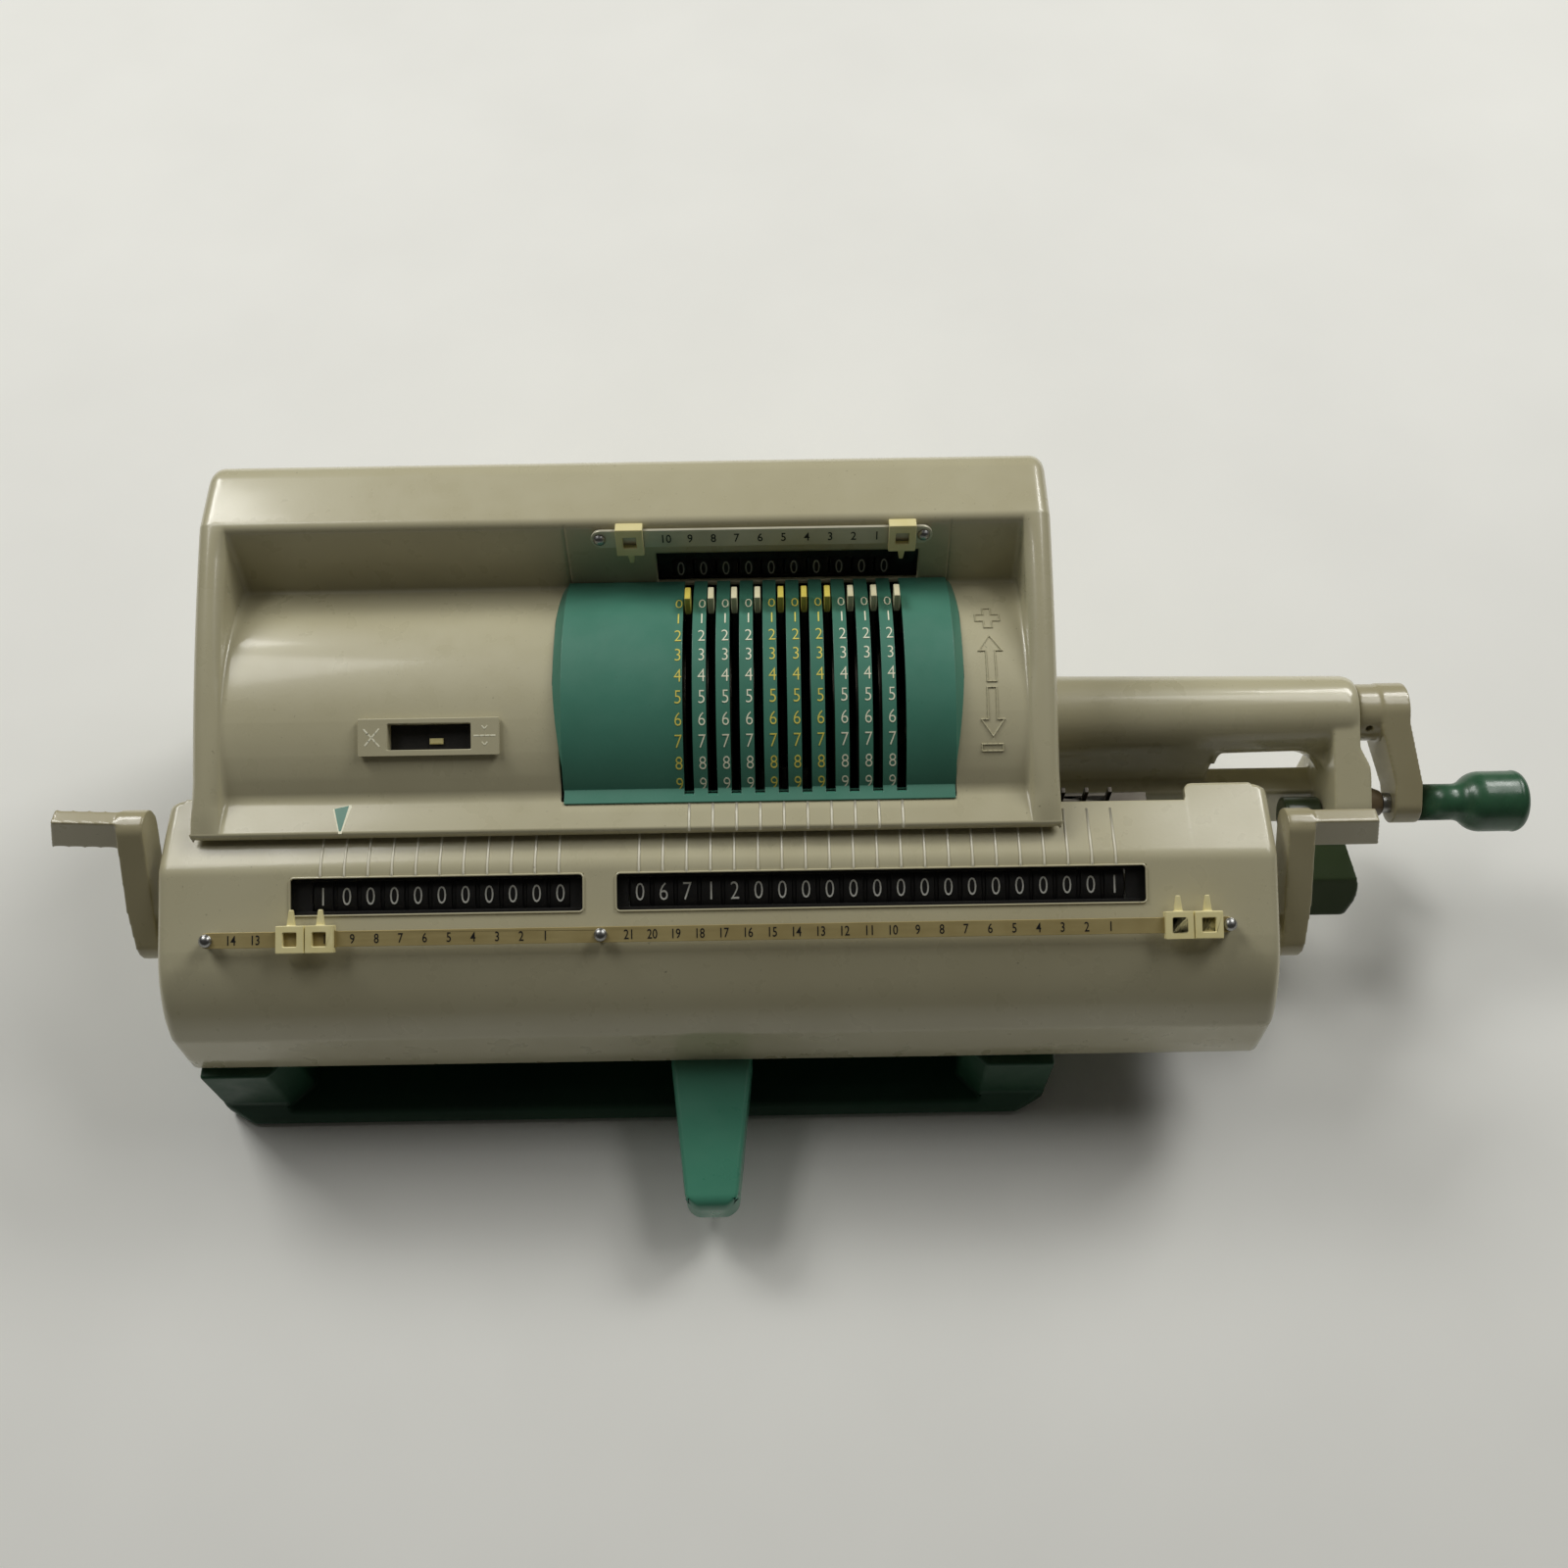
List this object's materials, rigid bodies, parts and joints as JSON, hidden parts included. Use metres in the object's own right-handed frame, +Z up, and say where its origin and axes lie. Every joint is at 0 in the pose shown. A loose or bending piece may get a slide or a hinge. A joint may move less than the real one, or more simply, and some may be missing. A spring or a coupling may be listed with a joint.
{
  "type": "mechanical calculator",
  "caption": "Desktop pinwheel calculating machine with setting levers in a curved dial, a sliding register carriage, side crank, clearing levers and a cast base.",
  "frame": {"origin": "on the table under the middle of the front left rubber foot, 118.5 mm left of and 63.5 mm in front of the middle of the cast base", "axes": "+X to the operator's right, along the shafts and the carriage's travel; +Y away from the operator; +Z up"},
  "size_m": [0.4578, 0.2065, 0.1314],
  "materials": {
    "beige_enamel": "gloss",
    "dial_enamel": "satin",
    "handle_enamel": "satin",
    "base_enamel": "satin",
    "dark_enamel": "satin",
    "black_enamel": "satin",
    "steel": "satin",
    "brass": "satin",
    "strip_metal": "satin",
    "scale_metal": "satin",
    "cream_plastic": "gloss",
    "yellow_plastic": "gloss",
    "knob_plastic": "gloss",
    "wheel_plastic": "matte",
    "window": "gloss",
    "rubber": "matte"
  },
  "bodies": {
    "frame": {"base_casting": "base_enamel", "rubber_feet": "rubber", "side_frames": "steel", "hood_cover": "beige_enamel", "dial_cover": "dial_enamel", "check_window": "window", "check_scale_bar": "scale_metal", "check_scale_screws": "steel", "check_wheel_shaft": "steel", "sign_window_frame": "beige_enamel", "arm_housing": "beige_enamel", "crank_lock_boss": "steel", "carriage_rail": "steel"},
    "crank": {"main_shaft": "steel", "pinwheel_rotor": "steel", "crank_arm": "beige_enamel", "knob_stud": "steel"},
    "knob": {"crank_knob": "knob_plastic"},
    "sign_shutter": {"sign_slide": "black_enamel"},
    "dial_clearing": {"dial_clear_lever": "dark_enamel"},
    "upper_marker_left": {"check_marker_left": "cream_plastic"},
    "upper_marker_right": {"check_marker_right": "cream_plastic"},
    "carriage": {"carriage_cover": "beige_enamel", "carriage_chassis": "steel", "register_windows": "window", "register_shafts": "steel", "carry_levers": "steel", "carriage_scale_bar": "strip_metal", "carriage_scale_screws": "steel", "carriage_shift_handle": "handle_enamel"},
    "counter_drums": {"counter_wheels": "wheel_plastic"},
    "result_drums": {"result_wheels": "wheel_plastic"},
    "transfer_train": {"transfer_gears": "brass"},
    "counter_tab_left": {"counter_marker_left": "cream_plastic"},
    "counter_tab_right": {"counter_marker_right": "cream_plastic"},
    "result_tab_left": {"result_marker_left": "cream_plastic"},
    "result_tab_right": {"result_marker_right": "cream_plastic"},
    "left_clearing": {"left_clearing_lever": "beige_enamel"},
    "right_clearing": {"right_clearing_lever": "beige_enamel"},
    "lever_01": {"setting_lever_01": "yellow_plastic"},
    "check_digit_01": {"check_wheel_01": "wheel_plastic"},
    "lever_02": {"setting_lever_02": "cream_plastic"},
    "check_digit_02": {"check_wheel_02": "wheel_plastic"},
    "lever_03": {"setting_lever_03": "cream_plastic"},
    "check_digit_03": {"check_wheel_03": "wheel_plastic"},
    "lever_04": {"setting_lever_04": "cream_plastic"},
    "check_digit_04": {"check_wheel_04": "wheel_plastic"},
    "lever_05": {"setting_lever_05": "yellow_plastic"},
    "check_digit_05": {"check_wheel_05": "wheel_plastic"},
    "lever_06": {"setting_lever_06": "yellow_plastic"},
    "check_digit_06": {"check_wheel_06": "wheel_plastic"},
    "lever_07": {"setting_lever_07": "yellow_plastic"},
    "check_digit_07": {"check_wheel_07": "wheel_plastic"},
    "lever_08": {"setting_lever_08": "cream_plastic"},
    "check_digit_08": {"check_wheel_08": "wheel_plastic"},
    "lever_09": {"setting_lever_09": "cream_plastic"},
    "check_digit_09": {"check_wheel_09": "wheel_plastic"},
    "lever_10": {"setting_lever_10": "cream_plastic"},
    "check_digit_10": {"check_wheel_10": "wheel_plastic"}
  },
  "joints": [
    {"name": "crank_turn", "type": "hinge", "parent": "frame", "child": "crank", "pos_m": [0.1185, 0.0895, 0.065], "axis": [1, 0, 0], "continuous": true},
    {"name": "knob_spin", "type": "hinge", "parent": "crank", "child": "knob", "pos_m": [0.3885, 0.06395, 0.05025], "axis": [1, 0, 0], "continuous": true},
    {"name": "sign_shift", "type": "slide", "parent": "frame", "child": "sign_shutter", "axis": [1, 0, 0], "range_m": [-0.011, 0]},
    {"name": "dial_clear_press", "type": "hinge", "parent": "frame", "child": "dial_clearing", "pos_m": [0.3285, 0.0635, 0.044], "axis": [1, 0, 0], "range_deg": [0, 18], "stiffness_Nm_per_rad": 0.05, "springref_deg": -22.92},
    {"name": "upper_marker_left_slide", "type": "slide", "parent": "frame", "child": "upper_marker_left", "axis": [1, 0, 0], "range_m": [-0.002, 0.073]},
    {"name": "upper_marker_right_slide", "type": "slide", "parent": "frame", "child": "upper_marker_right", "axis": [1, 0, 0], "range_m": [-0.073, 0.0004]},
    {"name": "carriage_shift", "type": "slide", "parent": "frame", "child": "carriage", "axis": [1, 0, 0], "range_m": [-0.063, 0.007]},
    {"name": "counter_turn", "type": "hinge", "parent": "carriage", "child": "counter_drums", "pos_m": [0.1185, 0.02711, 0.06928], "axis": [1, 0, 0], "continuous": true},
    {"name": "result_turn", "type": "hinge", "parent": "carriage", "child": "result_drums", "pos_m": [0.1185, 0.02711, 0.06928], "axis": [1, 0, 0], "continuous": true},
    {"name": "transfer_turn", "type": "hinge", "parent": "carriage", "child": "transfer_train", "pos_m": [0.1185, 0.0439, 0.068], "axis": [1, 0, 0], "continuous": true},
    {"name": "counter_tab_left_slide", "type": "slide", "parent": "carriage", "child": "counter_tab_left", "axis": [1, 0, 0], "range_m": [-0.018, 0.0002]},
    {"name": "counter_tab_right_slide", "type": "slide", "parent": "carriage", "child": "counter_tab_right", "axis": [1, 0, 0], "range_m": [-0.0002, 0.075]},
    {"name": "result_tab_left_slide", "type": "slide", "parent": "carriage", "child": "result_tab_left", "axis": [1, 0, 0], "range_m": [-0.161, 0.0002]},
    {"name": "result_tab_right_slide", "type": "slide", "parent": "carriage", "child": "result_tab_right", "axis": [1, 0, 0], "range_m": [-0.0002, 0.0004]},
    {"name": "left_clearing_turn", "type": "hinge", "parent": "carriage", "child": "left_clearing", "pos_m": [-0.0215, 0.0182, 0.0611], "axis": [1, 0, 0], "range_deg": [0, 100]},
    {"name": "right_clearing_turn", "type": "hinge", "parent": "carriage", "child": "right_clearing", "pos_m": [0.3185, 0.0141, 0.0588], "axis": [1, 0, 0], "range_deg": [0, 100]},
    {"name": "lever_01_set", "type": "hinge", "parent": "frame", "child": "lever_01", "pos_m": [0.1185, 0.0895, 0.065], "axis": [1, 0, 0], "range_deg": [0, 68.67]},
    {"name": "check_digit_01_turn", "type": "hinge", "parent": "frame", "child": "check_digit_01", "pos_m": [0.1185, 0.1267, 0.104], "axis": [1, 0, 0], "range_deg": [-324.5, 0.5]},
    {"name": "lever_02_set", "type": "hinge", "parent": "frame", "child": "lever_02", "pos_m": [0.1185, 0.0895, 0.065], "axis": [1, 0, 0], "range_deg": [0, 68.67]},
    {"name": "check_digit_02_turn", "type": "hinge", "parent": "frame", "child": "check_digit_02", "pos_m": [0.1185, 0.1267, 0.104], "axis": [1, 0, 0], "range_deg": [-324.5, 0.5]},
    {"name": "lever_03_set", "type": "hinge", "parent": "frame", "child": "lever_03", "pos_m": [0.1185, 0.0895, 0.065], "axis": [1, 0, 0], "range_deg": [0, 68.67]},
    {"name": "check_digit_03_turn", "type": "hinge", "parent": "frame", "child": "check_digit_03", "pos_m": [0.1185, 0.1267, 0.104], "axis": [1, 0, 0], "range_deg": [-324.5, 0.5]},
    {"name": "lever_04_set", "type": "hinge", "parent": "frame", "child": "lever_04", "pos_m": [0.1185, 0.0895, 0.065], "axis": [1, 0, 0], "range_deg": [0, 68.67]},
    {"name": "check_digit_04_turn", "type": "hinge", "parent": "frame", "child": "check_digit_04", "pos_m": [0.1185, 0.1267, 0.104], "axis": [1, 0, 0], "range_deg": [-324.5, 0.5]},
    {"name": "lever_05_set", "type": "hinge", "parent": "frame", "child": "lever_05", "pos_m": [0.1185, 0.0895, 0.065], "axis": [1, 0, 0], "range_deg": [0, 68.67]},
    {"name": "check_digit_05_turn", "type": "hinge", "parent": "frame", "child": "check_digit_05", "pos_m": [0.1185, 0.1267, 0.104], "axis": [1, 0, 0], "range_deg": [-324.5, 0.5]},
    {"name": "lever_06_set", "type": "hinge", "parent": "frame", "child": "lever_06", "pos_m": [0.1185, 0.0895, 0.065], "axis": [1, 0, 0], "range_deg": [0, 68.67]},
    {"name": "check_digit_06_turn", "type": "hinge", "parent": "frame", "child": "check_digit_06", "pos_m": [0.1185, 0.1267, 0.104], "axis": [1, 0, 0], "range_deg": [-324.5, 0.5]},
    {"name": "lever_07_set", "type": "hinge", "parent": "frame", "child": "lever_07", "pos_m": [0.1185, 0.0895, 0.065], "axis": [1, 0, 0], "range_deg": [0, 68.67]},
    {"name": "check_digit_07_turn", "type": "hinge", "parent": "frame", "child": "check_digit_07", "pos_m": [0.1185, 0.1267, 0.104], "axis": [1, 0, 0], "range_deg": [-324.5, 0.5]},
    {"name": "lever_08_set", "type": "hinge", "parent": "frame", "child": "lever_08", "pos_m": [0.1185, 0.0895, 0.065], "axis": [1, 0, 0], "range_deg": [0, 68.67]},
    {"name": "check_digit_08_turn", "type": "hinge", "parent": "frame", "child": "check_digit_08", "pos_m": [0.1185, 0.1267, 0.104], "axis": [1, 0, 0], "range_deg": [-324.5, 0.5]},
    {"name": "lever_09_set", "type": "hinge", "parent": "frame", "child": "lever_09", "pos_m": [0.1185, 0.0895, 0.065], "axis": [1, 0, 0], "range_deg": [0, 68.67]},
    {"name": "check_digit_09_turn", "type": "hinge", "parent": "frame", "child": "check_digit_09", "pos_m": [0.1185, 0.1267, 0.104], "axis": [1, 0, 0], "range_deg": [-324.5, 0.5]},
    {"name": "lever_10_set", "type": "hinge", "parent": "frame", "child": "lever_10", "pos_m": [0.1185, 0.0895, 0.065], "axis": [1, 0, 0], "range_deg": [0, 68.67]},
    {"name": "check_digit_10_turn", "type": "hinge", "parent": "frame", "child": "check_digit_10", "pos_m": [0.1185, 0.1267, 0.104], "axis": [1, 0, 0], "range_deg": [-324.5, 0.5]}
  ],
  "couplings": [
    {"joint": "transfer_turn", "follows": "result_turn", "ratio": -2.6667},
    {"joint": "check_digit_01_turn", "follows": "lever_01_set", "ratio": -4.7182},
    {"joint": "check_digit_02_turn", "follows": "lever_02_set", "ratio": -4.7182},
    {"joint": "check_digit_03_turn", "follows": "lever_03_set", "ratio": -4.7182},
    {"joint": "check_digit_04_turn", "follows": "lever_04_set", "ratio": -4.7182},
    {"joint": "check_digit_05_turn", "follows": "lever_05_set", "ratio": -4.7182},
    {"joint": "check_digit_06_turn", "follows": "lever_06_set", "ratio": -4.7182},
    {"joint": "check_digit_07_turn", "follows": "lever_07_set", "ratio": -4.7182},
    {"joint": "check_digit_08_turn", "follows": "lever_08_set", "ratio": -4.7182},
    {"joint": "check_digit_09_turn", "follows": "lever_09_set", "ratio": -4.7182},
    {"joint": "check_digit_10_turn", "follows": "lever_10_set", "ratio": -4.7182}
  ]
}
